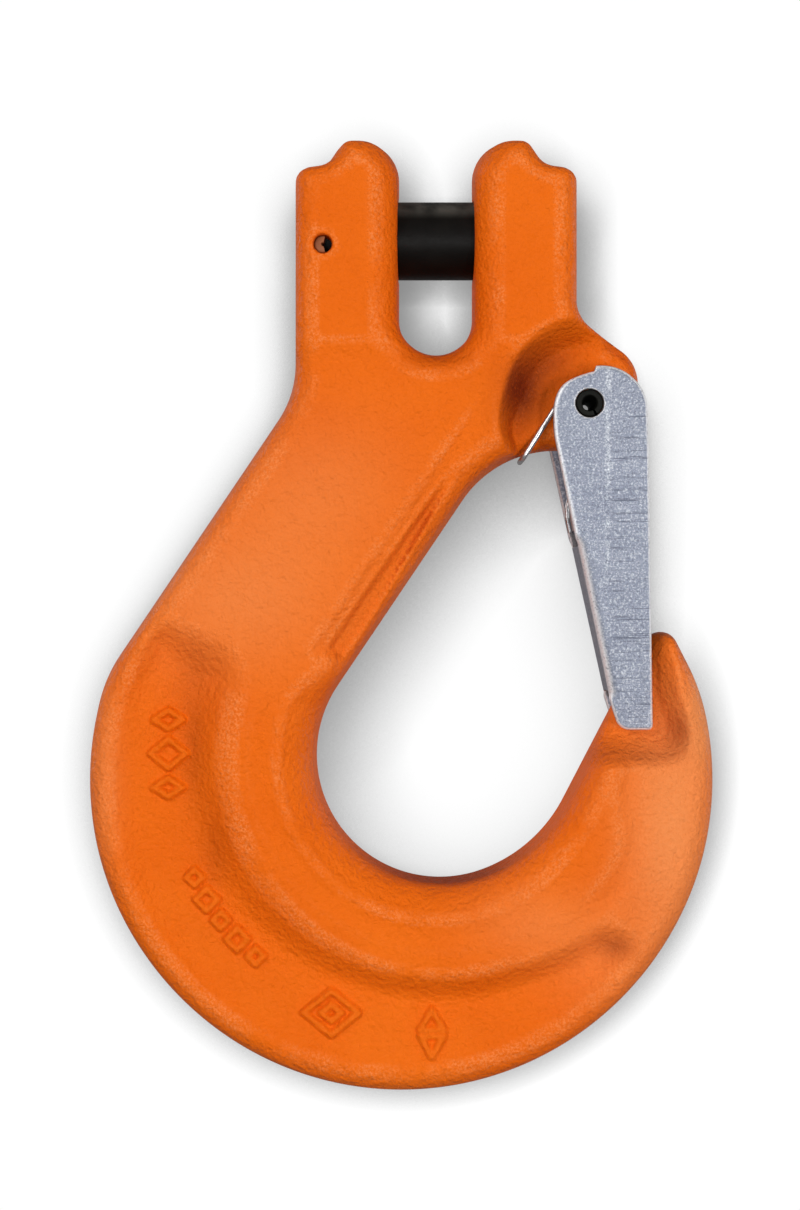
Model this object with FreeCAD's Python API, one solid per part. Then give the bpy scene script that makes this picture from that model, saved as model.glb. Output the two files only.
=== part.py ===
"""Clevis sling hook with a safety latch, as separate solids in millimetres.

The hook hangs on its load pin. +Z is up the load line, +X points from the
shank to the tip side, and +Y runs through the thickness. The origin is on the
load pin's axis, midway between the ears.
"""

import FreeCAD, Part
import math
import os

V = FreeCAD.Vector
THROUGH = V(0, 1, 0)

# load pin and clevis
PIN_R = 6.5
PIN_BORE_R = 6.6
PIN_HALF_LENGTH = 23.0
HALF_GAP = 6.1
EAR_OUTER = 23.5
EAR_TOP = 16.6
SHOULDER_TOP = 11.4
SLOT_FLOOR = -19.5
RETAINER_R = 1.5
RETAINER_X = -18.6
RETAINER_Z = -1.9
RETAINER_HALF_LENGTH = 11.6

# shank: a parallel bar that leans away from the load line
SHANK_LEAN = math.radians(34)
SHANK_WIDTH = 33.2

# bowl: a round seat inside a larger round back
BOWL = (0.7, -86.1)
BOWL_R = 20.6
BACK = (-5.75, -90.0)
BACK_R = 52.2
RIM_WIDTH = 4.8
RIDGE_R = 39.6

# tip
TIP_LEAN = math.radians(27.5)
TIP_INNER_OFFSET = 21.75
TIP_OUTER_OFFSET = 51.5
TIP_R = 3.0

# boss that carries the latch
PIVOT = (25.2, -27.9)
BOSS_RIGHT = 34.0
BOSS_FLOOR = -35.2
BOSS_SCOOP_R = 14.8

# half thicknesses
HALF_BODY = 12.0
HALF_CRESCENT = 6.6
HALF_GROOVE = 9.9
HALF_TIP_WEB = 3.9
HALF_BOSS_WEB = 4.75
EDGE_R = 2.0
SADDLE_R = 6.5

# latch: a folded channel that narrows towards the tip
SHEET = 1.8
LATCH_HALF_TOP = 10.4
LATCH_HALF_END = 6.2
LATCH_TAPER_TOP = -8.0
LATCH_END = -53.9
LATCH_LEAN = math.radians(12.1)
LATCH_EDGE = (-4.4, -12.0)
WEB_TOP = -18.2
WEB_END = -47.8
TONGUE_INSET = 1.3
TONGUE_LENGTH = 4.2
LATCH_PIN_R = 2.25
LATCH_PIN_BORE_R = 1.3
LATCH_HOLE_R = 2.32

# double torsion spring
WIRE_R = 0.45
COIL_R = 4.3
COIL_PITCH = 0.98
COIL_START_Y = 5.35
ARM_END = (-10.85, -9.0)


def rounded_wire(corners, y, closed=True):
    """Wire of lines and tangent arcs from (x, z, radius) corners."""
    joints = []
    count = len(corners)
    for i in range(count):
        x, z, radius = corners[i]
        here = V(x, y, z)
        if not closed and i in (0, count - 1):
            joints.append((here, here, here))
            continue
        before = V(corners[i - 1][0], y, corners[i - 1][1]) - here
        after = V(corners[(i + 1) % count][0], y, corners[(i + 1) % count][1]) - here
        before.normalize()
        after.normalize()
        half = before.getAngle(after) / 2
        reach = radius / math.tan(half)
        middle = before + after
        middle.normalize()
        nearest = here + middle * (radius / math.sin(half) - radius)
        joints.append((here + before * reach, nearest, here + after * reach))
    edges = []
    for i in range(count):
        start, nearest, end = joints[i]
        if (end - start).Length > 1e-6:
            edges.append(Part.Arc(start, nearest, end).toShape())
        if i == count - 1 and not closed:
            continue
        following = joints[(i + 1) % count][0]
        if (following - end).Length > 1e-6:
            edges.append(Part.makeLine(end, following))
    return Part.Wire(edges)


def plate(corners, half):
    """The rounded outline as a plate from -half to +half in Y."""
    face = Part.Face(rounded_wire(corners, -half))
    return face.extrude(V(0, 2 * half, 0))


def ring_corners(centre, radius, angles):
    """Corners whose arcs of one radius follow a circle between contact angles."""
    corners = []
    for a, b in zip(angles, angles[1:]):
        middle = math.radians((a + b) / 2)
        reach = radius / math.cos(math.radians(b - a) / 2)
        x = centre[0] + reach * math.cos(middle)
        z = centre[1] + reach * math.sin(middle)
        corners.append((x, z, radius))
    return corners


def meet(line_a, line_b):
    """Point where two lines (normal angle, offset, centre) cross."""
    (a, da, ca), (b, db, cb) = line_a, line_b
    pa = da + ca[0] * math.cos(a) + ca[1] * math.sin(a)
    pb = db + cb[0] * math.cos(b) + cb[1] * math.sin(b)
    scale = math.sin(b - a)
    x = (pa * math.sin(b) - pb * math.sin(a)) / scale
    z = (pb * math.cos(a) - pa * math.cos(b)) / scale
    return x, z


def inner_edge():
    """Corners of the inside edge, from the tip round the bowl to the boss."""
    shank_inner = (math.pi - SHANK_LEAN, BOWL_R, BOWL)
    tip_inner = (-TIP_LEAN, TIP_INNER_OFFSET, BOWL)
    bowl_exit = (math.radians(-70), BOWL_R, BOWL)
    boss_floor = (math.pi / 2, BOSS_FLOOR, (0, 0))
    points = [(*meet(tip_inner, bowl_exit), 24.9)]
    points += ring_corners(BOWL, BOWL_R, (290, 242, 194, 146))
    points.append((*meet(shank_inner, boss_floor), 18.8))
    return points


def outline():
    """The forging's outline, from the shank-side ear down round the back."""
    shank_outer = (math.pi - SHANK_LEAN, BOWL_R + SHANK_WIDTH, BOWL)
    back_top = (math.radians(168), BACK_R, BACK)
    back_tip = (math.radians(10), BACK_R, BACK)
    tip_outer = (math.radians(27), TIP_OUTER_OFFSET, BACK)
    tip_inner = (-TIP_LEAN, TIP_INNER_OFFSET, BOWL)
    ear_side = (math.pi, EAR_OUTER, (0, 0))

    points = [(-EAR_OUTER, SHOULDER_TOP, 2.6)]
    points.append((*meet(ear_side, shank_outer), 17.0))
    points.append((*meet(shank_outer, back_top), 24.0))
    points += ring_corners(BACK, BACK_R, (168, 220, 272, 324, 370))
    points.append((*meet(back_tip, tip_outer), 34.0))
    points.append((*meet(tip_outer, tip_inner), TIP_R))
    points += inner_edge()
    points.append((BOSS_RIGHT, BOSS_FLOOR, 7.0))
    points.append((BOSS_RIGHT, -20.6, 7.0))
    points.append((EAR_OUTER, -13.3, 4.5))
    for side in (1, -1):
        ear = [
            (EAR_OUTER, SHOULDER_TOP, 2.6),
            (18.6, 12.2, 2.2),
            (15.6, EAR_TOP, 3.2),
            (HALF_GAP, EAR_TOP, 6.6),
            (HALF_GAP, SLOT_FLOOR, HALF_GAP),
        ]
        points += [(side * x, z, r) for x, z, r in ear[::side]]
    return points[:-1]


def cylinder_y(x, z, radius, half):
    return Part.makeCylinder(radius, 2 * half, V(x, -half, z), THROUGH)


def cylinder_x(radius, half):
    return Part.makeCylinder(radius, 2 * half, V(-half, 0, 0), V(1, 0, 0))


def both_faces(cutter, floor):
    """The part of a through cutter that lies outside +-floor in Y."""
    keep = Part.makeBox(400, 2 * floor, 400, V(-200, -floor, -250))
    return cutter.cut(keep)


def polar(centre, radius, degrees):
    a = math.radians(degrees)
    return centre[0] + radius * math.cos(a), centre[1] + radius * math.sin(a)


def crescent():
    """Recess between the rim and the ridge, round the back of the bowl."""
    outer = cylinder_y(*BACK, BACK_R - RIM_WIDTH, 30)
    inner = cylinder_y(*BOWL, RIDGE_R, 40)
    sector = [(*BOWL, 0.0)]
    sector.append((*polar(BOWL, 60, 158), 0.0))
    sector.append((*polar(BOWL, 90, 190), 0.0))
    sector.append((*polar(BOWL, 90, 250), 0.0))
    sector.append((*polar(BOWL, 70, 316), 0.0))
    wedge = polygon_plate(sector, 30)
    ring = outer.cut(inner).common(wedge)
    ends = [e for e in ring.Edges if abs(e.tangentAt(e.FirstParameter).y) > 0.99]
    return ring.makeFillet(1.8, ends)


def polygon_plate(points, half):
    wire = Part.makePolygon([V(x, -half, z) for x, z, _ in points + points[:1]])
    return Part.Face(wire).extrude(V(0, 2 * half, 0))


def tip_recess():
    """Leaves the thin web that the latch's cheeks straddle."""
    return plate(
        [
            (39.6, -60.0, 1.0),
            (40.2, -74.0, 8.0),
            (42.8, -86.2, 3.0),
            (18.0, -90.6, 1.0),
            (18.0, -60.0, 1.0),
        ],
        30,
    )


def shank_groove():
    """Shallow groove beside the shank's inner edge, as one round-ended bar."""
    along = V(-math.sin(SHANK_LEAN), 0, -math.cos(SHANK_LEAN))
    out = V(-math.cos(SHANK_LEAN), 0, math.sin(SHANK_LEAN))
    middle = V(BOWL[0], 0, BOWL[1]) + out * (BOWL_R + 3.4) - along * 28
    half_length = 12.0
    half_width = 1.3
    corners = []
    for a, b in ((-1, -1), (1, -1), (1, 1), (-1, 1)):
        p = middle + along * (a * half_length) + out * (b * half_width)
        corners.append((p.x, p.z, 1.25))
    return plate(corners, 30)


def saddle_rounding(side):
    """Rounds the inside edge of one face, from the tip to the boss."""
    tip_normal = (math.cos(-TIP_LEAN), math.sin(-TIP_LEAN))
    foot_x = BOWL[0] + TIP_INNER_OFFSET * tip_normal[0]
    foot_z = BOWL[1] + TIP_INNER_OFFSET * tip_normal[1]
    run = 16.0
    start = (foot_x - run * tip_normal[1], foot_z + run * tip_normal[0], 0.0)
    finish = (PIVOT[0] + 1.0, BOSS_FLOOR, 0.0)
    y = side * HALF_BODY
    path = rounded_wire([start] + inner_edge() + [finish], y, closed=False)

    corner = V(start[0], y, start[1])
    out = V(tip_normal[0], 0, tip_normal[1])
    inward = V(0, -side, 0)
    over = 3.0
    a = corner + out * SADDLE_R
    b = corner + inward * SADDLE_R
    centre = a + inward * SADDLE_R
    bend = centre - (out + inward).normalize() * SADDLE_R
    c = b - out * over
    d = corner - out * over - inward * over
    e = a - inward * over
    profile = Part.Wire(
        [
            Part.Arc(a, bend, b).toShape(),
            Part.makeLine(b, c),
            Part.makeLine(c, d),
            Part.makeLine(d, e),
            Part.makeLine(e, a),
        ]
    )
    return path.makePipeShell([profile], True, False)


def make_hook_body():
    body = plate(outline(), HALF_BODY)
    rims = [e for e in body.Edges if abs(abs(e.CenterOfMass.y) - HALF_BODY) < 1e-6]
    body = body.makeFillet(EDGE_R, rims)
    for side in (-1, 1):
        body = body.cut(saddle_rounding(side))
    body = body.cut(both_faces(crescent(), HALF_CRESCENT))
    body = body.cut(both_faces(tip_recess(), HALF_TIP_WEB))
    body = body.cut(both_faces(cylinder_y(*PIVOT, BOSS_SCOOP_R, 30), HALF_BOSS_WEB))
    body = body.cut(both_faces(shank_groove(), HALF_GROOVE))
    body = body.cut(cylinder_x(PIN_BORE_R, 40))
    body = body.cut(cylinder_y(RETAINER_X, RETAINER_Z, RETAINER_R, 30))
    body = body.cut(cylinder_y(*PIVOT, LATCH_PIN_R, 30))
    return body


def make_load_pin():
    pin = cylinder_x(PIN_R, PIN_HALF_LENGTH)
    ends = [e for e in pin.Edges if len(e.Vertexes) == 1]
    pin = pin.makeChamfer(0.8, ends)
    return pin.cut(cylinder_y(RETAINER_X, RETAINER_Z, RETAINER_R, 30))


def slotted_pin(x, z, radius, bore, half, slot_turn):
    """Rolled spring pin: a tube with one slot along its length."""
    tube = cylinder_y(x, z, radius, half)
    ends = [e for e in tube.Edges if len(e.Vertexes) == 1]
    tube = tube.makeChamfer(0.25, ends).cut(cylinder_y(x, z, bore, half + 1))
    slot = Part.makeBox(radius + 1, 4 * half, 0.5, V(0, -2 * half, -0.25))
    slot.rotate(V(0, 0, 0), THROUGH, slot_turn)
    slot.translate(V(x, 0, z))
    return tube.cut(slot)


def latch_outline():
    """The cheek's outline: round about the pivot, straight down to the tip."""
    x0, z0 = PIVOT
    slope = math.tan(LATCH_LEAN)

    def edge(z):
        return LATCH_EDGE[0] + (LATCH_EDGE[1] - z) * slope

    return [
        (x0 - 6.1, z0 + 6.2, 7.7),
        (x0 + 9.4, z0 + 6.2, 7.6),
        (x0 + 10.8, z0 + LATCH_END, 0.8),
        (x0 + 5.2, z0 + LATCH_END, 2.4),
        (x0 + edge(-48.4), z0 - 48.4, 5.0),
        (x0 + edge(-5.0), z0 - 5.0, 16.0),
    ]


def taper_block(top_half, end_half):
    """Block across X whose half width falls from top_half to end_half."""
    z0 = PIVOT[1]
    side = [
        (top_half, z0 + 12),
        (top_half, z0 + LATCH_TAPER_TOP),
        (end_half, z0 + LATCH_END),
        (end_half, z0 - 60),
    ]
    loop = side + [(-y, z) for y, z in reversed(side)]
    wire = Part.makePolygon([V(-20, y, z) for y, z in loop + loop[:1]])
    return Part.Face(wire).extrude(V(120, 0, 0))


def web_plate():
    """The web's section: straight, with a tongue set inwards at its top."""
    x0, z0 = PIVOT
    slope = math.tan(LATCH_LEAN)

    def face(z, inset):
        shift = inset / math.cos(LATCH_LEAN)
        return x0 + LATCH_EDGE[0] + (LATCH_EDGE[1] - z) * slope + shift, z0 + z

    bend = WEB_TOP - TONGUE_LENGTH
    outer = [
        face(WEB_TOP, TONGUE_INSET),
        face(bend, TONGUE_INSET),
        face(bend - 1.8, 0.0),
        face(bend - 1.8, -3.0),
        face(WEB_END, -3.0),
    ]
    inner = [
        face(WEB_END, SHEET),
        face(bend - 1.8, SHEET),
        face(bend, TONGUE_INSET + SHEET),
        face(WEB_TOP, TONGUE_INSET + SHEET),
    ]
    return polygon_plate([(x, z, 0.0) for x, z in outer + inner], 30)


def make_latch():
    shell = plate(latch_outline(), 20).common(taper_block(LATCH_HALF_TOP, LATCH_HALF_END))
    hollow = taper_block(LATCH_HALF_TOP - SHEET, LATCH_HALF_END - SHEET)
    latch = shell.cut(hollow.cut(web_plate()))
    return latch.cut(cylinder_y(*PIVOT, LATCH_HOLE_R, 30))


def spring_path():
    """Centre line of half the spring, from the bar's middle to a free end."""
    x0, z0 = PIVOT
    arm = V(ARM_END[0], 0, ARM_END[1])
    reach = math.sqrt(arm.Length**2 - COIL_R**2)
    start = math.atan2(arm.z, arm.x) - math.atan2(reach, COIL_R)
    start = math.degrees(start) % 360
    finish = -25.0 - 2 * 360
    turns = (start - finish) / 360
    y = -COIL_START_Y
    bend = 1.0
    tangent = V(COIL_R * math.cos(math.radians(start)), 0, COIL_R * math.sin(math.radians(start)))
    up = (tangent - arm).normalize()
    corner = V(arm.x, y, arm.z)
    points = [V(arm.x, (y + bend) * i / 5, arm.z) for i in range(6)]
    for degrees in (22.5, 45, 67.5, 90):
        a = math.radians(degrees)
        points.append(corner + V(0, bend * (1 - math.sin(a)), 0) + up * (bend * (1 - math.cos(a))))
    for i in range(1, 9):
        points.append(corner + up * (bend + (reach - bend - 0.6) * i / 8))
    steps = int(turns * 16)
    for i in range(steps + 1):
        a = math.radians(start + (finish - start) * i / steps)
        rise = COIL_PITCH * turns * i / steps
        points.append(V(COIL_R * math.cos(a), y - rise, COIL_R * math.sin(a)))
    last = points[-1]
    points.append(V(2.8, last.y + 0.1, -4.2))
    points.append(V(1.2, last.y + 0.4, -7.6))
    points.append(V(-0.3, last.y + 0.7, -10.9))
    points.append(V(-1.8, last.y + 0.9, -14.0))
    points.append(V(-2.55, last.y + 1.0, -16.4))
    points.append(V(-2.6, last.y + 1.2, -18.6))
    points.append(V(-2.15, last.y + 1.4, -20.8))
    return [p + V(x0, 0, z0) for p in points]


def make_latch_spring():
    curve = Part.BSplineCurve()
    points = spring_path()
    curve.approximate(Points=points, DegMin=3, DegMax=3, Tolerance=0.02)
    path = Part.Wire(curve.toShape())
    ring = Part.Wire(Part.makeCircle(WIRE_R, points[0], V(0, -1, 0)))
    half = path.makePipeShell([ring], True, False)
    other = half.mirror(V(0, 0, 0), THROUGH)
    return half.fuse(other).removeSplitter()


def main():
    os.makedirs("parts", exist_ok=True)
    x0, z0 = PIVOT
    parts = {
        "hook_body": make_hook_body(),
        "load_pin": make_load_pin(),
        "load_pin_retainer": slotted_pin(RETAINER_X, RETAINER_Z, RETAINER_R, 0.8, RETAINER_HALF_LENGTH, 0),
        "latch": make_latch(),
        "latch_pin": slotted_pin(x0, z0, LATCH_PIN_R, LATCH_PIN_BORE_R, LATCH_HALF_TOP - 0.1, 60),
        "latch_spring": make_latch_spring(),
    }
    for node, shape in parts.items():
        shape.exportStep("parts/" + node + ".step")
        box = shape.BoundBox
        print(
            node, shape.ShapeType, len(shape.Solids), "solid", shape.isValid(), round(shape.Volume),
            "x", round(box.XMin, 2), round(box.XMax, 2),
            "y", round(box.YMin, 2), round(box.YMax, 2),
            "z", round(box.ZMin, 2), round(box.ZMax, 2),
        )


main()
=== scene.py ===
"""Look of the clevis sling hook: forged body, latch, pins, spring, paint, studio."""

import math

import bpy
import numpy as np
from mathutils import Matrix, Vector


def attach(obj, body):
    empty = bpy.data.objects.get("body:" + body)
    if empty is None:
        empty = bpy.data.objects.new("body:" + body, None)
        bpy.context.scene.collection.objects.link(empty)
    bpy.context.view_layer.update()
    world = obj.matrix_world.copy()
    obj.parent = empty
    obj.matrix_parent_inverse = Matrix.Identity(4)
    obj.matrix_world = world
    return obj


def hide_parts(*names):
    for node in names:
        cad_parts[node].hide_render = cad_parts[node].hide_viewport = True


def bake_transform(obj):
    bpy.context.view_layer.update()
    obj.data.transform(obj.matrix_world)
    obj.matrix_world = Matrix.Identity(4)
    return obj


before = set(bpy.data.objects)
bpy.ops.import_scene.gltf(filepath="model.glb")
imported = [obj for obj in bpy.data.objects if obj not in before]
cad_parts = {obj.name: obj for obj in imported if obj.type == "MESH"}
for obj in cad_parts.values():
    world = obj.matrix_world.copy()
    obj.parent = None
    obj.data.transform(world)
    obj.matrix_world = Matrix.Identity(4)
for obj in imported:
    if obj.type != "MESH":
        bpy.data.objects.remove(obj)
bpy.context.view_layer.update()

MM = 0.001

# frame of the forging, in millimetres (x, z)
BOWL = (0.7, -86.1)
BOWL_R = 20.6
BACK = (-5.75, -90.0)
BACK_R = 52.2
PIVOT = (25.2, -27.9)
SHANK_LEAN = math.radians(34)
SHANK_WIDTH = 33.2
TIP_LEAN = math.radians(27.5)
RETAINER_X = -18.6
RETAINER_Z = -1.9

# half thicknesses of the forging
SHANK_HALF = 12.0
EAR_HALF = 11.4
CRESCENT_HALF = 7.3
TIP_HALF = 3.9
BOSS_HALF = 4.75

# radii of the pins and of their bores
PIN_R = 6.5
PIN_BORE_R = 6.6
RETAINER_R = 1.4
RETAINER_BORE_R = 1.5
LATCH_PIN_R = 2.2
BOSS_BORE_R = 2.25
LATCH_BORE_R = 2.32

# darker paint in corners, grime and shade alike: x, z, half width, half height, share
POCKETS = [
    (0.0, -20.2, 5.5, 1.9, 0.4),
    (13.6, -25.6, 4.6, 6.0, 1.0),
    (19.0, -20.5, 5.0, 3.5, 0.45),
    (40.0, -82.0, 2.4, 3.2, 0.4),
    (33.0, -86.0, 7.0, 1.6, 0.25),
    (29.6, -117.2, 3.2, 2.2, 0.5),
    (-38.6, -71.5, 4.5, 4.0, 0.14),
    (-40.2, -84.0, 2.4, 11.0, 0.32),
    (-36.5, -102.0, 2.6, 8.0, 0.25),
]

# darker paint standing in for shade on a wall: x, z, half width, half height, share
SHADED_WALLS = [
    (2.0, -107.0, 16.0, 5.0, 0.75),
]

# lighter paint standing in for sheen from the lights: x, z, half width, half height, share
PAINTED_SHEEN_PATCHES = [
    (39.0, -97.0, 8.0, 22.0, 0.95),
    (44.0, -78.0, 3.0, 9.0, 0.8),
    (-33.0, -60.0, 17.0, 12.0, 0.5),
    (-20.0, -42.0, 15.0, 12.0, 0.35),
    (16.0, -113.0, 10.0, 6.0, 0.35),
    (-55.0, -88.0, 3.0, 18.0, 0.4),
    (28.0, -120.0, 9.0, 9.0, 0.3),
]

# latch
SHEET = 1.8
LATCH_LEAN = math.radians(12.1)
LATCH_HALF_TOP = 10.4
LATCH_HALF_END = 6.2
LATCH_TAPER_TOP = -8.0
LATCH_END = -53.9
WEB_TOP = -18.2
WEB_END = -47.8

# spring
WIRE_R = 0.45
COIL_R = 4.3
COIL_PITCH = 0.98
COIL_START_Y = 5.35
ARM_END = (-10.85, -9.0)
COIL_FINISH = -25.0 - 720.0

# mesh steps, full and quick
FORGING_STEP = (0.62, 1.0)
LATCH_STEP = (0.3, 0.5)

# studio, in metres
BACKDROP_Y = 0.0127
CENTRE = (0.0, 0.0, -0.062)


# ---------------------------------------------------------------- outlines

def smooth(low, high, value):
    t = np.clip((value - low) / (high - low), 0.0, 1.0)
    return t * t * (3.0 - 2.0 * t)


def mix(a, b, t):
    return a + (b - a) * t


def meet(line_a, line_b):
    """Point where two lines (normal angle, offset, centre) cross."""
    (a, da, ca), (b, db, cb) = line_a, line_b
    pa = da + ca[0] * math.cos(a) + ca[1] * math.sin(a)
    pb = db + cb[0] * math.cos(b) + cb[1] * math.sin(b)
    scale = math.sin(b - a)
    x = (pa * math.sin(b) - pb * math.sin(a)) / scale
    z = (pb * math.cos(a) - pa * math.cos(b)) / scale
    return x, z


def ring_corners(centre, radius, angles):
    corners = []
    for a, b in zip(angles, angles[1:]):
        middle = math.radians((a + b) / 2)
        reach = radius / math.cos(math.radians(b - a) / 2)
        corners.append((centre[0] + reach * math.cos(middle), centre[1] + reach * math.sin(middle), radius))
    return corners


def hook_corners():
    """Corners and corner radii of the forging's outline."""
    lean = math.pi - SHANK_LEAN
    shank_inner = (lean, BOWL_R, BOWL)
    shank_outer = (lean, BOWL_R + SHANK_WIDTH, BOWL)
    back_top = (math.radians(168), BACK_R, BACK)
    back_tip = (math.radians(10), BACK_R, BACK)
    tip_outer = (math.radians(27), 51.5, BACK)
    tip_inner = (-TIP_LEAN, 21.75, BOWL)
    bowl_exit = (math.radians(-70), BOWL_R, BOWL)
    ear_side = (math.pi, 23.5, (0, 0))
    boss_floor = (math.pi / 2, -35.2, (0, 0))
    points = [(-23.5, 11.4, 3.3)]
    points.append((*meet(ear_side, shank_outer), 17.0))
    points.append((*meet(shank_outer, back_top), 24.0))
    points += ring_corners(BACK, BACK_R, (168, 220, 272, 324, 370))
    points.append((*meet(back_tip, tip_outer), 34.0))
    points.append((*meet(tip_outer, tip_inner), 3.0))
    points.append((*meet(tip_inner, bowl_exit), 24.9))
    points += ring_corners(BOWL, BOWL_R, (290, 242, 194, 146))
    points.append((*meet(shank_inner, boss_floor), 18.8))
    points.append((34.0, -35.2, 7.0))
    points.append((34.0, -20.6, 7.0))
    points.append((23.5, -13.3, 4.5))
    ear = [(23.5, 11.4, 3.3), (18.6, 12.2, 2.2), (15.6, 16.6, 3.2), (6.1, 16.6, 6.6), (6.1, -19.5, 6.1)]
    points += ear
    points += [(-x, z, r) for x, z, r in ear[:0:-1]]
    return points


def outline_points(corners, step=0.4):
    """Dense closed polygon along lines and tangent arcs through the corners."""
    out = []
    count = len(corners)
    for i in range(count):
        here = np.array(corners[i][:2])
        radius = corners[i][2]
        before = np.array(corners[i - 1][:2]) - here
        after = np.array(corners[(i + 1) % count][:2]) - here
        before = before / np.linalg.norm(before)
        after = after / np.linalg.norm(after)
        half = math.acos(float(np.clip(before @ after, -1, 1))) / 2
        reach = radius / math.tan(half)
        middle = before + after
        middle = middle / np.linalg.norm(middle)
        centre = here + middle * radius / math.sin(half)
        start = here + before * reach - centre
        end = here + after * reach - centre
        a = math.atan2(start[1], start[0])
        b = math.atan2(end[1], end[0])
        turn = (b - a + math.pi) % (2 * math.pi) - math.pi
        parts = max(2, int(abs(turn) * radius / step))
        for k in range(parts + 1):
            angle = a + turn * k / parts
            out.append(centre + radius * np.array((math.cos(angle), math.sin(angle))))
    return np.array(out)


class Field:
    """Values on a regular x, z grid, read anywhere by bilinear steps."""

    def __init__(self, x0, z0, step, values):
        self.x0, self.z0, self.step, self.values = x0, z0, step, values

    def __call__(self, x, z):
        u = np.clip((x - self.x0) / self.step, 0, self.values.shape[0] - 1.001)
        v = np.clip((z - self.z0) / self.step, 0, self.values.shape[1] - 1.001)
        i = u.astype(int)
        j = v.astype(int)
        u = u - i
        v = v - j
        a = self.values
        low = a[i, j] * (1 - u) + a[i + 1, j] * u
        high = a[i, j + 1] * (1 - u) + a[i + 1, j + 1] * u
        return low * (1 - v) + high * v


def signed_distance(polygon, x, z):
    """Distance to a closed polygon, negative inside, on the grid x by z."""
    nearest = np.full((len(x), len(z)), 1e9)
    ends = np.roll(polygon, -1, axis=0)
    for (ax, az), (bx, bz) in zip(polygon, ends):
        span = max((bx - ax) ** 2 + (bz - az) ** 2, 1e-12)
        i0, i1 = np.searchsorted(x, (min(ax, bx) - 14, max(ax, bx) + 14))
        j0, j1 = np.searchsorted(z, (min(az, bz) - 14, max(az, bz) + 14))
        gx = x[i0:i1, None]
        gz = z[None, j0:j1]
        t = np.clip(((gx - ax) * (bx - ax) + (gz - az) * (bz - az)) / span, 0, 1)
        d = (gx - ax - t * (bx - ax)) ** 2 + (gz - az - t * (bz - az)) ** 2
        block = nearest[i0:i1, j0:j1]
        np.minimum(block, d, out=block)
    nearest = np.minimum(np.sqrt(nearest), 14.0)
    inside = np.zeros(nearest.shape, bool)
    for j, level in enumerate(z):
        crossing = (polygon[:, 1] > level) != (ends[:, 1] > level)
        a = polygon[crossing]
        b = ends[crossing]
        cuts = np.sort(a[:, 0] + (level - a[:, 1]) / (b[:, 1] - a[:, 1]) * (b[:, 0] - a[:, 0]))
        inside[:, j] = np.searchsorted(cuts, x) % 2 == 1
    return np.where(inside, -nearest, nearest)


# ---------------------------------------------------------------- solids

def rounded_meet(u, v, radius):
    """Rounded intersection of two half spaces."""
    a = u + radius
    b = v + radius
    outside = np.sqrt(np.maximum(a, 0) ** 2 + np.maximum(b, 0) ** 2)
    return np.minimum(np.maximum(a, b), 0) + outside - radius


def smooth_max(a, b, k):
    h = np.maximum(k - np.abs(a - b), 0) / k
    return np.maximum(a, b) + h * h * k * 0.25


def polar_deg(x, z, centre):
    return np.degrees(np.arctan2(z - centre[1], x - centre[0])) % 360


def back_weight(phi):
    """1 on the bowl's back and flank, 0 on the shank and the ears."""
    left = smooth(152, 172, phi)
    right = 1 - smooth(40, 55, phi)
    return np.where(phi > 90, left, right)


def flank_share(phi):
    """1 on the flank that climbs to the tip, 0 elsewhere."""
    return np.where(phi > 200, smooth(294, 324, phi), (phi < 90) * 1.0)


def ridge_height(rho, z, rb, flank):
    """The bead round the bowl and the land beside it."""
    bead = SHANK_HALF - 0.2 * smooth(27.0, 31.5, rho) - 0.45 * np.exp(-(((rho - 28.9) / 1.9) ** 2))
    valley = mix(31.3, 35.5, smooth(-90, -104, z))
    plane = 8.7 + 0.145 * (BACK_R - rb)
    land = mix(SHANK_HALF - 0.1 * np.maximum(rho - 25, 0), plane, smooth(0, 1, (rho - valley + 3.5) / 5.0))
    land = land - 0.5 * np.exp(-(((rho - valley) / 1.7) ** 2))
    return mix(bead, land, flank)


def crescent_depth(rho, rb, phi):
    """Distance inside the rounded border of the crescent recess."""
    shoulder = 35.4 + 1.4 * smooth(285, 310, phi)
    end = np.where(phi > 235, 317.5 - phi, phi - 153.0) * math.pi / 180 * rho
    border = rounded_meet(shoulder - rho, -end, 5.5)
    return -rounded_meet(border, (rb - 48.6) * 1.3, 4.5)


def plateau(x, z):
    """Half thickness of the forging before its edges are rounded."""
    rho = np.hypot(x - BOWL[0], z - BOWL[1])
    rb = np.hypot(x - BACK[0], z - BACK[1])
    phi = polar_deg(x, z, BOWL)
    flank = flank_share(phi)

    shank = mix(EAR_HALF, SHANK_HALF, smooth(-21.0, -17.0, z))
    ridge = ridge_height(rho, z, rb, flank)
    rim = mix(9.4, 9.0, flank)
    outer = mix(smooth(36.5, 44.0, rho), 0.0, flank)
    h = mix(shank, mix(ridge, rim, outer), back_weight(phi))

    depth = crescent_depth(rho, rb, phi)
    across = np.clip((rho - 39.8) / np.maximum(rho - 39.8 + 47.4 - rb, 1.0), 0, 1)
    floor = CRESCENT_HALF + 0.8 * smooth(215, 262, phi) + 0.8 * across**1.5
    soft = (1 - smooth(205, 262, phi)) * (1 - across)
    h = mix(h, np.minimum(h, floor), smooth(-0.6 - 1.4 * soft, 5.6 + 2.6 * soft, depth))
    h = shank_ledge(x, z, h)
    h = tip_recess(x, z, h)
    return boss_scoop(x, z, h)


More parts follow.
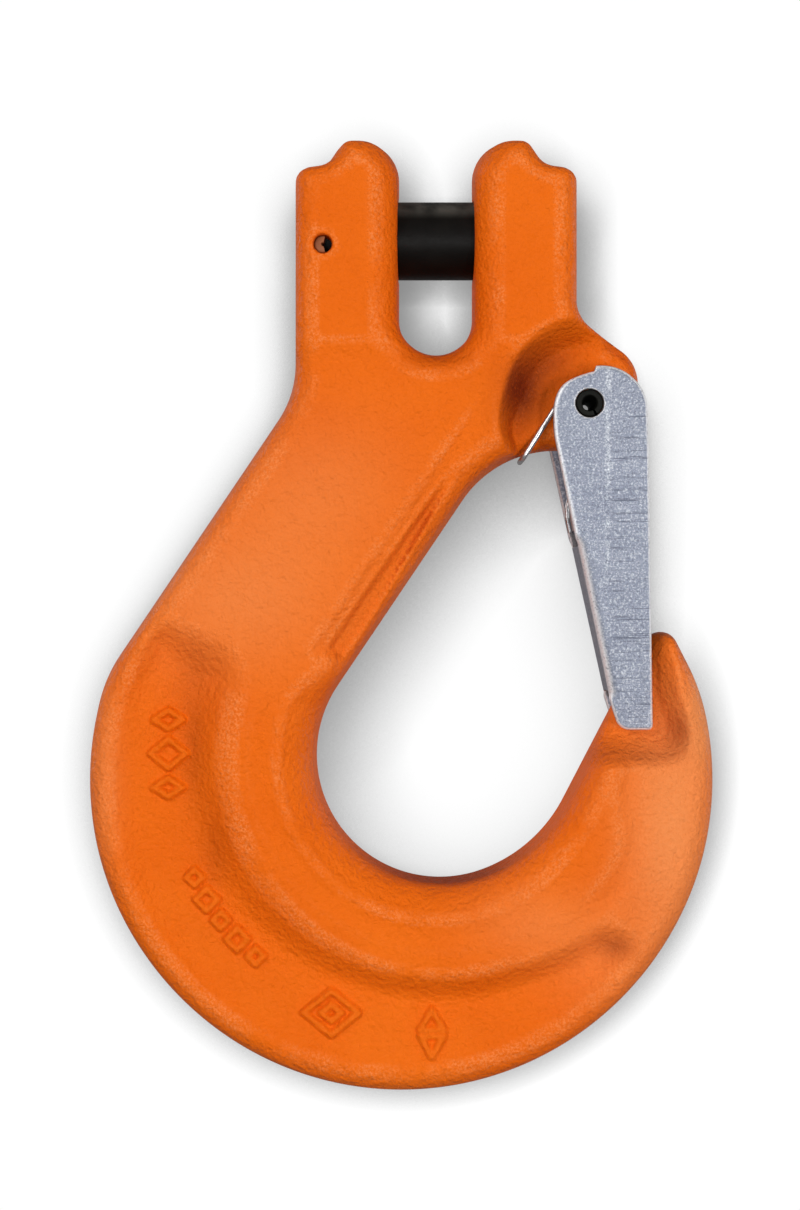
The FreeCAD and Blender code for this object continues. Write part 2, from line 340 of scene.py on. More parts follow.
def shank_ledge(x, z, h):
    """Stepped ledge and tapered groove beside the shank's inner edge."""
    perp = (BOWL[0] - x) * math.cos(SHANK_LEAN) + (z - BOWL[1]) * math.sin(SHANK_LEAN) - BOWL_R
    along = (x - BOWL[0]) * math.sin(SHANK_LEAN) + (z - BOWL[1]) * math.cos(SHANK_LEAN)
    reach = smooth(1.5, 4.5, along) * (1 - smooth(38, 56, along))
    ledge = (1 - smooth(5.2, 7.6, perp)) * reach * (perp > -6)
    h = h - 0.9 * ledge
    taper = 1 - smooth(8, 40, along)
    width = 0.35 + 1.15 * taper
    groove = 1 - smooth(width * 0.45, width + 0.55, np.abs(perp - 3.3 - 0.5 * (1 - taper)))
    groove = groove * smooth(3.2, 5.4, along) * (1 - smooth(30, 42, along))
    return h - 1.3 * groove


def tip_recess(x, z, h):
    right = 39.4 + 0.8 * smooth(-66, -74, z) + 2.1 * smooth(-73, -84, z)
    border = rounded_meet((x - right) * 1.5, -87.8 - 0.02 * (x - 30) - z, 7.0)
    inside = smooth(-0.6, 6.2, -border) * (z > -100) * (z < -50) * (x > 14)
    return mix(h, np.minimum(h, TIP_HALF), inside)


def boss_scoop(x, z, h):
    r = np.hypot(x - PIVOT[0], z - PIVOT[1])
    phi = polar_deg(x, z, PIVOT)
    low = smooth(165, 205, phi) * (1 - smooth(255, 290, phi))
    start = mix(9.8, 13.2, low)
    end = mix(14.8, 15.8, low)
    inside = 1 - smooth(0, 1, (r - start) / (end - start))
    return mix(h, np.minimum(h, BOSS_HALF), inside)


def edge_radius(x, z, h):
    """Radius of the rounding between the faces and the outline."""
    rho = np.hypot(x - BOWL[0], z - BOWL[1])
    phi = polar_deg(x, z, BOWL)
    inner = (1 - smooth(24, 30, rho)) * np.where(phi > 90, smooth(140, 165, phi), 1 - smooth(0, 20, phi))
    clevis = smooth(-26, -16, z) * (1 - smooth(8.5, 14, np.abs(x)))
    bowl = mix(8.0, 5.2, smooth(235, 330, phi))
    bowl = np.where(phi < 90, 5.2, bowl)
    r = mix(3.6 + 1.4 * clevis, bowl, inner)
    return np.minimum(r, 0.62 * h)


def draft(x, z):
    """Slope of the outline's walls away from the parting line."""
    ears = smooth(-28, -18, z) * (1 - smooth(9, 13, z))
    return mix(0.1 + 0.03 * smooth(-100, -130, z) + 0.03 * smooth(9, 13, z), 0.04, ears)


class Forging:
    """The hook body as a solid: negative inside, zero on its surface."""

    def __init__(self):
        step = 0.25
        x = np.arange(-62, 51, step)
        z = np.arange(-147, 21, step)
        d = signed_distance(outline_points(hook_corners()), x, z)
        gx, gz = np.meshgrid(x, z, indexing="ij")
        h = plateau(gx, gz)
        r = edge_radius(gx, gz, h)
        self.edge = Field(x[0], z[0], step, d)
        self.half = Field(x[0], z[0], step, h)
        self.round = Field(x[0], z[0], step, r)
        self.draft = Field(x[0], z[0], step, draft(gx, gz))

    def __call__(self, x, y, z):
        ay = np.abs(y)
        side = self.edge(x, z) + self.draft(x, z) * ay
        body = rounded_meet(side, ay - self.half(x, z), self.round(x, z))
        pin = PIN_BORE_R - np.hypot(y, z)
        body = np.where(z > -12, smooth_max(body, pin, 0.8), body)
        hole = RETAINER_BORE_R - np.hypot(x - RETAINER_X, z - RETAINER_Z)
        body = np.where(z > -12, smooth_max(body, hole, 0.7), body)
        boss = BOSS_BORE_R - np.hypot(x - PIVOT[0], z - PIVOT[1])
        return np.where(x > 15, smooth_max(body, boss, 0.4), body)


def latch_corners():
    x0, z0 = PIVOT
    slope = math.tan(LATCH_LEAN)
    return [
        (x0 - 6.1, z0 + 6.2, 7.7),
        (x0 + 9.4, z0 + 6.2, 7.6),
        (x0 + 10.8, z0 + LATCH_END, 0.8),
        (x0 + 5.2, z0 + LATCH_END, 2.4),
        (x0 - 4.4 + 36.4 * slope, z0 - 48.4, 5.0),
        (x0 - 4.4 - 7.0 * slope, z0 - 5.0, 16.0),
    ]


class Latch:
    """Folded sheet: two cheeks, a web, and a tongue set inwards."""

    def __init__(self):
        step = 0.15
        x = np.arange(17, 38.5, step)
        z = np.arange(-84, -19.5, step)
        d = signed_distance(outline_points(latch_corners(), 0.15), x, z)
        self.edge = Field(x[0], z[0], step, d)

    def half(self, z):
        t = np.clip((z - PIVOT[1] - LATCH_TAPER_TOP) / (LATCH_END - LATCH_TAPER_TOP), 0, 1.15)
        return LATCH_HALF_TOP - (LATCH_HALF_TOP - LATCH_HALF_END) * t - SHEET / 2

    def __call__(self, x, y, z):
        rx = x - PIVOT[0]
        rz = z - PIVOT[1]
        ay = np.abs(y)
        lean = (-4.4 - rx) * math.cos(LATCH_LEAN) + (-12.0 - rz) * math.sin(LATCH_LEAN)
        web = lean + SHEET / 2
        middle = self.half(z)
        channel = np.abs(rounded_meet(web, ay - middle, 0.9)) - SHEET / 2
        cheeks = np.abs(ay - middle) - SHEET / 2
        webbed = (rz < WEB_TOP - 5.2) & (rz > WEB_END)
        blend_up = smooth(WEB_TOP - 5.2, WEB_TOP - 3.2, rz)
        blend_low = smooth(WEB_END + 0.2, WEB_END - 1.6, rz)
        open_share = np.maximum(blend_up, blend_low)
        body = np.where(webbed, channel, mix(channel, cheeks, open_share))
        gap = np.maximum(ay - (middle - SHEET / 2), -0.2 - np.maximum(rz - (WEB_TOP - 5.0), WEB_END - rz))
        body = np.where(open_share > 0, smooth_max(body, -gap, 0.3), body)
        step_down = 0.9 * smooth(-7.5, -0.5, rx) * (1 - smooth(0.7, 1.1, rx)) * smooth(2.0, 5.0, rz)
        body = rounded_meet(body, self.edge(x, z) + step_down, 0.55)
        tongue = np.abs(web + 1.3) - SHEET / 2
        limits = np.maximum(ay - (middle - SHEET / 2 - 0.35), np.maximum(rz - WEB_TOP, WEB_TOP - 7.0 - rz))
        tongue = rounded_meet(tongue, limits, 0.3)
        body = np.minimum(body, tongue)
        hole = LATCH_BORE_R - np.hypot(rx, rz)
        return smooth_max(body, hole, 0.3)


def surface_nets(solid, low, high, step):
    """Quads on the surface of a solid, with vertices moved onto it."""
    axes = [np.arange(a - step, b + 2 * step, step) for a, b in zip(low, high)]
    gx, gy, gz = np.meshgrid(*axes, indexing="ij")
    f = solid(gx, gy, gz)
    inside = f < 0
    shape = tuple(n - 1 for n in f.shape)
    total = np.zeros(shape, np.int8)
    for i in (0, 1):
        for j in (0, 1):
            for k in (0, 1):
                total += inside[i : i + shape[0], j : j + shape[1], k : k + shape[2]]
    mixed = (total > 0) & (total < 8)
    index = np.full(shape, -1)
    cells = np.argwhere(mixed)
    index[mixed] = np.arange(len(cells))

    weight = np.zeros(len(cells))
    place = np.zeros((len(cells), 3))
    for axis in range(3):
        others = [a for a in range(3) if a != axis]
        for i in (0, 1):
            for j in (0, 1):
                a = cells.copy()
                a[:, others[0]] += i
                a[:, others[1]] += j
                b = a.copy()
                b[:, axis] += 1
                fa = f[tuple(a.T)]
                fb = f[tuple(b.T)]
                cut = (fa < 0) != (fb < 0)
                t = np.where(cut, fa / np.where(cut, fa - fb, 1), 0)
                point = a.astype(float)
                point[:, axis] += t
                place += point * cut[:, None]
                weight += cut
    verts = np.array([axis[0] for axis in axes]) + step * place / weight[:, None]

    quads = []
    for axis in range(3):
        u, v = [(1, 2), (2, 0), (0, 1)][axis]
        lo = [slice(1, -1)] * 3
        lo[axis] = slice(0, -1)
        hi = list(lo)
        hi[axis] = slice(1, None)
        a = inside[tuple(lo)]
        b = inside[tuple(hi)]
        spots = np.argwhere(a != b)
        forward = a[tuple(spots.T)]
        start = spots.copy()
        start[:, [k for k in range(3) if k != axis]] += 1
        around = []
        for du, dv in ((-1, -1), (0, -1), (0, 0), (-1, 0)):
            c = start.copy()
            c[:, u] += du
            c[:, v] += dv
            around.append(index[tuple(c.T)])
        quad = np.stack(around, axis=1)
        quad[~forward] = quad[~forward][:, ::-1]
        quads.append(quad)
    quads = np.concatenate(quads)

    for _ in range(4):
        value = solid(*verts.T)
        slope = gradient(solid, verts, 0.05)
        length = np.maximum((slope**2).sum(1), 0.05)
        move = slope * (value / length)[:, None]
        size = np.linalg.norm(move, axis=1)
        verts = verts - move * np.minimum(1, 0.3 * step / np.maximum(size, 1e-9))[:, None]
    return verts, quads


def gradient(solid, verts, step):
    x, y, z = verts.T
    slope = np.stack(
        [
            solid(x + step, y, z) - solid(x - step, y, z),
            solid(x, y + step, z) - solid(x, y - step, z),
            solid(x, y, z + step) - solid(x, y, z - step),
        ],
        axis=1,
    )
    return slope / (2 * step)


# ---------------------------------------------------------------- mesh helpers

def mesh_object(name, verts, faces, normals=None):
    """Smooth-shaded object from vertices in millimetres."""
    mesh = bpy.data.meshes.new(name)
    if not isinstance(faces, list):
        faces = faces.tolist()
    mesh.from_pydata((np.asarray(verts) * MM).tolist(), [], faces)
    mesh.update()
    mesh.polygons.foreach_set("use_smooth", [True] * len(mesh.polygons))
    if normals is not None:
        mesh.normals_split_custom_set_from_vertices(normals.tolist())
    obj = bpy.data.objects.new(name, mesh)
    bpy.context.scene.collection.objects.link(obj)
    return obj


def solid_object(name, solid, low, high, step, soften):
    verts, quads = surface_nets(solid, low, high, step)
    slope = gradient(solid, verts, soften)
    normals = slope / np.maximum(np.linalg.norm(slope, axis=1), 1e-9)[:, None]
    obj = mesh_object(name, verts, quads, normals)
    for label, reach in (("cavity", 1.6), ("hollow", 5.0)):
        room = solid(*(verts + normals * reach).T)
        store(obj, label, np.clip(1 - room / reach, 0, 1))
    store(obj, "tilt", 1 - np.abs(normals[:, 1]))
    store(obj, "crest", convexity(solid, verts, normals))
    return obj


def convexity(solid, verts, normals, reach=1.2):
    """1 where the surface curves away on the outside of a bend, 0 elsewhere."""
    side = np.cross(normals, (0.3, 0.2, 1.0))
    side = side / np.maximum(np.linalg.norm(side, axis=1), 1e-9)[:, None]
    up = np.cross(normals, side)
    rise = 0
    for way in (side, -side, up, -up):
        rise = rise + solid(*(verts + way * reach).T) / 4
    return smooth(0.012, 0.06, rise)


def patches(x, z, spots):
    """Sum of soft round patches."""
    total = np.zeros(len(x))
    for cx, cz, wide, high, share in spots:
        total += share * np.exp(-(((x - cx) / wide) ** 2) - ((z - cz) / high) ** 2)
    return np.clip(total, 0, 1)


def store_grime_shade_and_sheen(obj, forging):
    """Darker and lighter patches of paint that stand in for grime, shade and sheen."""
    x, _, z = np.array([v.co for v in obj.data.vertices]).T / MM
    low = 1 - smooth(10.6, 11.9, forging.half(x, z))
    low = np.maximum(low, (np.abs(x) < 6) & (z > -26))
    y = np.array([normal.vector[1] for normal in obj.data.vertex_normals])
    wall = smooth(0.5, 0.9, 1 - np.abs(y)) * patches(x, z, SHADED_WALLS)
    store(obj, "painted_shade_and_grime", np.maximum(patches(x, z, POCKETS) * low, wall))
    store(obj, "painted_sheen", patches(x, z, PAINTED_SHEEN_PATCHES))


def painted_rim_highlight(obj, latch):
    """Painted highlight along the edge of the sheet, broad on the web's side and thin on the other."""
    x, y, z = np.array([v.co for v in obj.data.vertices]).T / MM
    wide = mix(0.75, 0.3, smooth(PIVOT[0] - 1, PIVOT[0] + 4, x))
    rim = smooth(-wide, -wide * 0.5, latch.edge(x, z)) * (np.abs(y) > latch.half(z) + 0.3)
    store(obj, "rim", rim)


def store(obj, label, values):
    """Keep one number per vertex for the material to read."""
    layer = obj.data.attributes.new(label, "FLOAT", "POINT")
    layer.data.foreach_set("value", values.astype(np.float32))


def tube(points, radius, sides=14):
    """Vertices and faces of a round wire along points, closed at both ends."""
    points = np.asarray(points, float)
    along = np.gradient(points, axis=0)
    along = along / np.linalg.norm(along, axis=1)[:, None]
    side = np.cross(along[0], (0.0, 0.3, 1.0))
    side = side / np.linalg.norm(side)
    rings = []
    for i, direction in enumerate(along):
        side = side - direction * (side @ direction)
        side = side / np.linalg.norm(side)
        up = np.cross(direction, side)
        turn = np.arange(sides) * 2 * math.pi / sides
        rings.append(points[i] + radius * (np.cos(turn)[:, None] * side + np.sin(turn)[:, None] * up))
    verts = np.concatenate(rings)
    faces = []
    for i in range(len(points) - 1):
        for j in range(sides):
            k = (j + 1) % sides
            faces.append((i * sides + j, i * sides + k, (i + 1) * sides + k, (i + 1) * sides + j))
    faces.append(tuple(range(sides))[::-1])
    faces.append(tuple(range((len(points) - 1) * sides, len(points) * sides)))
    return verts, faces


def rolled_pin(name, x, z, outer, inner, neck, half, slot_deg, gap_deg):
    """Slotted spring pin: a C section swept along Y with rounded ends."""
    bevel = 0.3
    profile = [(inner, -half + 0.1), (inner + 0.12, -half), (outer - bevel, -half)]
    for a in (0.5, 1.0, 1.57):
        profile.append((outer - bevel * (1 - math.sin(a)), -half + bevel * (1 - math.cos(a))))
    profile += [(r, -y) for r, y in reversed(profile)]
    profile += [(neck, half * 0.4), (neck, -half * 0.4)]
    turns = np.radians(np.linspace(slot_deg + gap_deg / 2, slot_deg + 360 - gap_deg / 2, 57))
    verts = [(x + r * math.cos(a), y, z + r * math.sin(a)) for a in turns for r, y in profile]
    n = len(profile)
    faces = []
    for i in range(len(turns) - 1):
        for j in range(n):
            k = (j + 1) % n
            faces.append((i * n + j, (i + 1) * n + j, (i + 1) * n + k, i * n + k))
    faces.append(tuple(range(n)))
    faces.append(tuple(range((len(turns) - 1) * n, len(turns) * n))[::-1])
    obj = mesh_object(name, verts, faces)
    sharpen(obj, 35)
    return obj


def sharpen(obj, degrees):
    obj.data.set_sharp_from_angle(angle=math.radians(degrees))


def load_pin():
    """Turned pin along X with chamfered ends."""
    half = 22.9
    profile = [(0.0, -half), (5.3, -half), (5.75, -half + 0.15), (6.35, -half + 0.75), (PIN_R, -half + 1.2)]
    profile += [(PIN_R, s) for s in np.linspace(-20, 20, 21)]
    profile += [(r, -s) for r, s in profile[4::-1]]
    sides = 96
    verts = [(s, r * math.cos(2 * math.pi * k / sides), r * math.sin(2 * math.pi * k / sides))
             for r, s in profile for k in range(sides)]
    faces = []
    for i in range(len(profile) - 1):
        for k in range(sides):
            m = (k + 1) % sides
            faces.append((i * sides + k, i * sides + m, (i + 1) * sides + m, (i + 1) * sides + k))
    obj = mesh_object("load_pin_turned", verts, faces)
    sharpen(obj, 40)
    return obj


# ---------------------------------------------------------------- raised marks

def diamond(x, z, wide, high):
    return [(x + wide, z), (x, z + high), (x - wide, z), (x, z - high), (x + wide, z)]


def triangle(x, z, size, turn):
    """Outline of a triangle whose point looks along the turn, in degrees."""
    angles = [math.radians(turn + step) for step in (0, 120, 240, 0)]
    return [(x + size * math.cos(a), z + size * math.sin(a)) for a in angles]


def on_back(angle, radius):
    a = math.radians(angle)
    return BACK[0] + radius * math.cos(a), BACK[1] + radius * math.sin(a)


def mark_groups():
    """Plain raised shapes on the crescent: diamonds and triangles."""
    upper = [
        diamond(-44.2, -80.0, 2.4, 1.5),
        diamond(-44.2, -85.6, 2.9, 2.4),
        diamond(-44.2, -91.2, 2.4, 1.5),
    ]
    row = []
    for i, angle in enumerate((205.2, 211.5, 217.8, 224.1, 230.4)):
        size = 1.3 + 0.5 * (i % 2)
        row.append(diamond(*on_back(angle, 37.7), size, size))
    nested = [diamond(-17.3, -128.3, 4.5, 3.6), diamond(-17.3, -128.3, 1.7, 1.3)]
    small = [triangle(-0.7, -130.0, 2.2, 90), triangle(-0.7, -133.2, 2.2, 270)]
    return [upper, row, nested, small]


def stroke_distance(strokes, x, z):
    nearest = np.full(x.shape, 1e9)
    for stroke in strokes:
        for (ax, az), (bx, bz) in zip(stroke, stroke[1:]):
            span = (bx - ax) ** 2 + (bz - az) ** 2
            t = np.clip(((x - ax) * (bx - ax) + (z - az) * (bz - az)) / span, 0, 1)
            nearest = np.minimum(nearest, np.hypot(x - ax - t * (bx - ax), z - az - t * (bz - az)))
    return nearest


def raised_marks(forging, step=0.2, rise=0.85):
    """Fine skin over the marks, sunk just under the forging round each stroke."""
    verts = []
    faces = []
    for strokes in mark_groups():
        ends = np.array([p for stroke in strokes for p in stroke])
        x = np.arange(ends[:, 0].min() - 1.4, ends[:, 0].max() + 1.4, step)
        z = np.arange(ends[:, 1].min() - 1.4, ends[:, 1].max() + 1.4, step)
        gx, gz = np.meshgrid(x, z, indexing="ij")
        height = rise * (1 - smooth(0.2, 0.95, stroke_distance(strokes, gx, gz))) - 0.03
        y = -(forging.half(gx, gz) + height)
        used = height > -0.029
        cells = used[:-1, :-1] | used[1:, :-1] | used[1:, 1:] | used[:-1, 1:]
        number = np.arange(gx.size).reshape(gx.shape) + len(verts)
        verts += np.stack([gx, y, gz], axis=-1).reshape(-1, 3).tolist()
        for i, j in np.argwhere(cells):
            corners = (number[i, j], number[i + 1, j], number[i + 1, j + 1], number[i, j + 1])
            faces.append([int(corner) for corner in corners])
    return mesh_object("raised_marks", verts, faces)


# ---------------------------------------------------------------- spring

def coil_start():
    arm = math.hypot(*ARM_END)
    reach = math.sqrt(arm * arm - COIL_R * COIL_R)
    angle = math.atan2(ARM_END[1], ARM_END[0]) - math.atan2(reach, COIL_R)
    return math.degrees(angle) % 360, reach


def shift(points):
    return np.asarray(points) + np.array((PIVOT[0], 0.0, PIVOT[1]))


def arm_path():
    """The bar under the boss with an arm up to each coil."""
    start, reach = coil_start()
    angle = math.radians(start)
    end = np.array((ARM_END[0], 0.0, ARM_END[1]))
    touch = np.array((COIL_R * math.cos(angle), 0.0, COIL_R * math.sin(angle)))
    up = (touch - end) / np.linalg.norm(touch - end)
    bend = 1.0
    half = [np.array((end[0], -(COIL_START_Y - bend) * t, end[2])) for t in np.linspace(0, 1, 7)]
    corner = end + np.array((0, -COIL_START_Y, 0))
    for a in np.radians((15, 30, 45, 60, 75, 90)):
        half.append(corner + np.array((0, bend * (1 - math.sin(a)), 0)) + up * bend * (1 - math.cos(a)))
    half += [corner + up * (bend + (reach - bend) * t) for t in np.linspace(0.1, 1, 10)]
    other = [p * np.array((1, -1, 1)) for p in half[:0:-1]]
    return shift(other + half)


def coil_path(side):
    start, _ = coil_start()
    turns = (start - COIL_FINISH) / 360
    steps = 110
    points = []
    for i in range(steps + 1):
        a = math.radians(start + (COIL_FINISH - start) * i / steps)
        y = -COIL_START_Y - COIL_PITCH * turns * i / steps
        points.append((COIL_R * math.cos(a), y * side, COIL_R * math.sin(a)))
    return shift(points)


def leg_path(side):
    """From the coil's last turn down over the web's tongue."""
    start, _ = coil_start()
    turns = (start - COIL_FINISH) / 360
    y = -COIL_START_Y - COIL_PITCH * turns
    a = math.radians(COIL_FINISH)
    points = [
        (COIL_R * math.cos(a), y, COIL_R * math.sin(a)),
        (2.8, y + 0.1, -4.2),
        (1.2, y + 0.4, -7.6),
        (-0.3, y + 0.7, -10.9),
        (-1.8, y + 0.9, -14.0),
        (-2.55, y + 1.0, -16.4),
        (-2.6, y + 1.2, -18.6),
        (-2.15, y + 1.4, -20.8),
    ]
    points = np.array(points)
    smooth_points = []
    for i in range(len(points) - 1):
        p0 = points[max(i - 1, 0)]
        p1, p2 = points[i], points[i + 1]
        p3 = points[min(i + 2, len(points) - 1)]
        for t in np.linspace(0, 1, 5)[: 5 if i == len(points) - 2 else 4]:
            smooth_points.append(
                0.5 * (2 * p1 + (p2 - p0) * t + (2 * p0 - 5 * p1 + 4 * p2 - p3) * t**2
                       + (3 * p1 - p0 - 3 * p2 + p3) * t**3)
            )
    out = np.array(smooth_points)
    out[:, 1] *= side
    return shift(out)


# ---------------------------------------------------------------- materials

def node_material(name):
    material = bpy.data.materials.new(name)
    material.use_nodes = True
    tree = material.node_tree
    tree.nodes.clear()
    out = tree.nodes.new("ShaderNodeOutputMaterial")
    shader = tree.nodes.new("ShaderNodeBsdfPrincipled")
    tree.links.new(shader.outputs["BSDF"], out.inputs["Surface"])
    return material, tree, shader


def add(tree, kind, **inputs):
    """New node with values set on its named inputs."""
    node = tree.nodes.new(kind)
    for key, value in inputs.items():
        node.inputs[key].default_value = value
    return node


def coordinates(tree, scale=(1, 1, 1)):
    source = tree.nodes.new("ShaderNodeTexCoord")
    mapping = tree.nodes.new("ShaderNodeMapping")
    mapping.inputs["Scale"].default_value = scale
    tree.links.new(source.outputs["Object"], mapping.inputs["Vector"])
    return mapping.outputs["Vector"]


def noise(tree, vector, scale, detail=2.0, roughness=0.5):
    node = add(tree, "ShaderNodeTexNoise", Scale=scale, Detail=detail, Roughness=roughness)
    tree.links.new(vector, node.inputs["Vector"])
    return node.outputs["Fac"]


def ramp(tree, value, stops):
    """Colour by value, from (place, colour) stops."""
    node = tree.nodes.new("ShaderNodeValToRGB")
    elements = node.color_ramp.elements
    while len(elements) < len(stops):
        elements.new(0.5)
    for element, (place, colour) in zip(elements, stops):
        element.position = place
        element.color = (*colour, 1.0)
    tree.links.new(value, node.inputs["Fac"])
    return node.outputs["Color"]


def bump(tree, heights):
    """Chain of bumps from (height socket, strength, distance) entries."""
    normal = None
    for height, strength, distance in heights:
        node = add(tree, "ShaderNodeBump", Strength=strength, Distance=distance)
        tree.links.new(height, node.inputs["Height"])
        if normal is not None:
            tree.links.new(normal, node.inputs["Normal"])
        normal = node.outputs["Normal"]
    return normal


def attribute(tree, label):
    node = tree.nodes.new("ShaderNodeAttribute")
    node.attribute_name = label
    return node.outputs["Fac"]


def spread(tree, value, low, high):
    """Value stretched so that low..high becomes 0..1."""
    node = tree.nodes.new("ShaderNodeMapRange")
    node.interpolation_type = "SMOOTHSTEP"
    node.inputs["From Min"].default_value = low
    node.inputs["From Max"].default_value = high
    tree.links.new(value, node.inputs["Value"])
    return node.outputs["Result"]


def arithmetic(tree, operation, a, b):
    node = tree.nodes.new("ShaderNodeMath")
    node.operation = operation
    for socket, value in zip(node.inputs, (a, b)):
        if isinstance(value, (int, float)):
            socket.default_value = value
        else:
            tree.links.new(value, socket)
    return node.outputs["Value"]


def blend_colour(tree, share, first, second):
    node = tree.nodes.new("ShaderNodeMix")
    node.data_type = "RGBA"
    tree.links.new(share, node.inputs["Factor"])
    for socket, value in ((node.inputs[6], first), (node.inputs[7], second)):
        if isinstance(value, tuple):
            socket.default_value = (*value, 1.0)
        else:
            tree.links.new(value, socket)
    return node.outputs[2]


def orange_paint():
    material, tree, shader = node_material("orange_paint")
    vector = coordinates(tree)
    broad = noise(tree, vector, 60, 3)
    colour = ramp(tree, broad, [(0.3, (0.79, 0.126, 0.003)), (0.7, (0.84, 0.148, 0.005))])
    speck = noise(tree, vector, 2400, 4, 0.75)
    patch = noise(tree, vector, 130, 3, 0.6)

    # painted sheen: lighter, paler paint where the lights would shine
    painted_sheen_share = arithmetic(tree, "MULTIPLY", attribute(tree, "painted_sheen"), spread(tree, speck, -0.2, 0.62))
    colour = blend_colour(tree, painted_sheen_share, colour, (0.88, 0.275, 0.08))

    # painted shade with grime: darker paint in hollows and tight corners
    cavity = arithmetic(tree, "MULTIPLY", spread(tree, attribute(tree, "cavity"), 0.05, 0.5), 0.4)
    hollow = arithmetic(tree, "MULTIPLY", spread(tree, attribute(tree, "hollow"), 0.06, 0.6), 0.62)
    hollow_shade_and_grime = arithmetic(tree, "MAXIMUM", cavity, hollow)
    hollow_shade_and_grime = arithmetic(tree, "MULTIPLY", hollow_shade_and_grime, spread(tree, speck, 0.2, 0.6))
    colour = blend_colour(tree, hollow_shade_and_grime, colour, (0.44, 0.046, 0.004))
    # painted shade with grime in the listed corners, and painted shade on the bowl's lower wall
    painted_shade_and_grime = arithmetic(tree, "MULTIPLY", attribute(tree, "painted_shade_and_grime"), spread(tree, speck, 0.1, 0.5))
    colour = blend_colour(tree, painted_shade_and_grime, colour, (0.19, 0.022, 0.005))

    # painted highlight: light specks where convex roundings begin
    tilt = attribute(tree, "tilt")
    crest = arithmetic(tree, "MULTIPLY", attribute(tree, "crest"), spread(tree, tilt, 0.26, 0.06))
    crest = arithmetic(tree, "MULTIPLY", crest, spread(tree, attribute(tree, "painted_shade_and_grime"), 0.2, 0.02))
    painted_crest_highlight = arithmetic(tree, "MULTIPLY", crest, spread(tree, speck, 0.4, 0.66))
    painted_crest_highlight = arithmetic(tree, "MULTIPLY", painted_crest_highlight, spread(tree, patch, 0.3, 0.62))
    painted_crest_highlight = arithmetic(tree, "MULTIPLY", painted_crest_highlight, 0.85)
    colour = blend_colour(tree, painted_crest_highlight, colour, (0.90, 0.25, 0.065))
    tree.links.new(colour, shader.inputs["Base Color"])

    grain = noise(tree, vector, 1000, 3, 0.6)
    hammered = noise(tree, vector, 230, 2, 0.5)
    rough = ramp(tree, grain, [(0.35, (0.38, 0.38, 0.38)), (0.65, (0.52, 0.52, 0.52))])
    tree.links.new(rough, shader.inputs["Roughness"])
    shader.inputs["Specular IOR Level"].default_value = 0.16
    shader.inputs["Specular Tint"].default_value = (1.0, 0.6, 0.4, 1.0)
    normal = bump(tree, [(hammered, 0.4, 0.001), (grain, 0.9, 0.0007), (speck, 0.4, 0.0002)])
    tree.links.new(normal, shader.inputs["Normal"])
    return material


def zinc_plate():
    material, tree, shader = node_material("zinc_plate")
    vector = coordinates(tree)
    grain = noise(tree, vector, 2900, 4, 0.75)
    broad = noise(tree, vector, 260, 3, 0.6)
    base = ramp(tree, broad, [(0.3, (0.19, 0.212, 0.275)), (0.7, (0.25, 0.275, 0.34))])
    # painted glints: fine white specks on the zinc
    painted_glint = arithmetic(tree, "MULTIPLY", spread(tree, grain, 0.5, 0.68), 0.75)
    colour = blend_colour(tree, painted_glint, base, (0.72, 0.74, 0.78))
    pits = arithmetic(tree, "MULTIPLY", spread(tree, grain, 0.48, 0.34), 0.75)
    colour = blend_colour(tree, pits, colour, (0.09, 0.10, 0.14))

    # painted highlight along a crease down the cheek, broken up and fading out towards the bottom
    place = tree.nodes.new("ShaderNodeSeparateXYZ")
    tree.links.new(vector, place.inputs[0])
    across = place.outputs[0]
    wander = arithmetic(tree, "MULTIPLY", noise(tree, vector, 420, 3, 0.7), 0.0016)
    painted_crease_highlight = arithmetic(tree, "SUBTRACT", arithmetic(tree, "ADD", across, wander), 0.0290)
    painted_crease_highlight = spread(tree, arithmetic(tree, "ABSOLUTE", painted_crease_highlight, 0.0), 0.0006, 0.0001)
    height = place.outputs[2]
    broken = arithmetic(tree, "MULTIPLY", spread(tree, broad, 0.35, 0.6), spread(tree, grain, 0.35, 0.7))
    broken = arithmetic(tree, "MULTIPLY", broken, spread(tree, height, -0.062, -0.048))
    painted_crease_highlight = arithmetic(tree, "MULTIPLY", arithmetic(tree, "MULTIPLY", painted_crease_highlight, broken), 0.8)
    colour = blend_colour(tree, painted_crease_highlight, colour, (0.80, 0.82, 0.85))
    lines = noise(tree, coordinates(tree, (0.04, 0.3, 1.0)), 1500, 3, 0.8)
    right_half = spread(tree, across, 0.0275, 0.0300)
    rolled = arithmetic(tree, "MULTIPLY", spread(tree, lines, 0.45, 0.35), right_half)
    rolled = arithmetic(tree, "MULTIPLY", rolled, 0.8)
    colour = blend_colour(tree, rolled, colour, (0.07, 0.08, 0.12))

    # painted highlight along the sheet's edges and its rim
    tilt = attribute(tree, "tilt")
    edge = arithmetic(tree, "MULTIPLY", spread(tree, tilt, 0.02, 0.2), spread(tree, tilt, 0.98, 0.7))
    edge = arithmetic(tree, "MAXIMUM", edge, attribute(tree, "rim"))
    edge = arithmetic(tree, "MULTIPLY", edge, spread(tree, grain, 0.25, 0.5))
    colour = blend_colour(tree, edge, colour, (0.86, 0.86, 0.88))
    # painted shade: darker zinc in the latch's hollows
    hollow = spread(tree, attribute(tree, "hollow"), 0.1, 0.6)
    colour = blend_colour(tree, arithmetic(tree, "MULTIPLY", hollow, 0.75), colour, (0.09, 0.07, 0.06))
    tree.links.new(colour, shader.inputs["Base Color"])
    shader.inputs["Metallic"].default_value = 0.4
    rough = ramp(tree, grain, [(0.3, (0.36, 0.36, 0.36)), (0.7, (0.52, 0.52, 0.52))])
    tree.links.new(rough, shader.inputs["Roughness"])
    normal = bump(tree, [(broad, 0.2, 0.0003), (grain, 0.4, 0.00015), (lines, 0.4, 0.0002)])
    tree.links.new(normal, shader.inputs["Normal"])
    return material


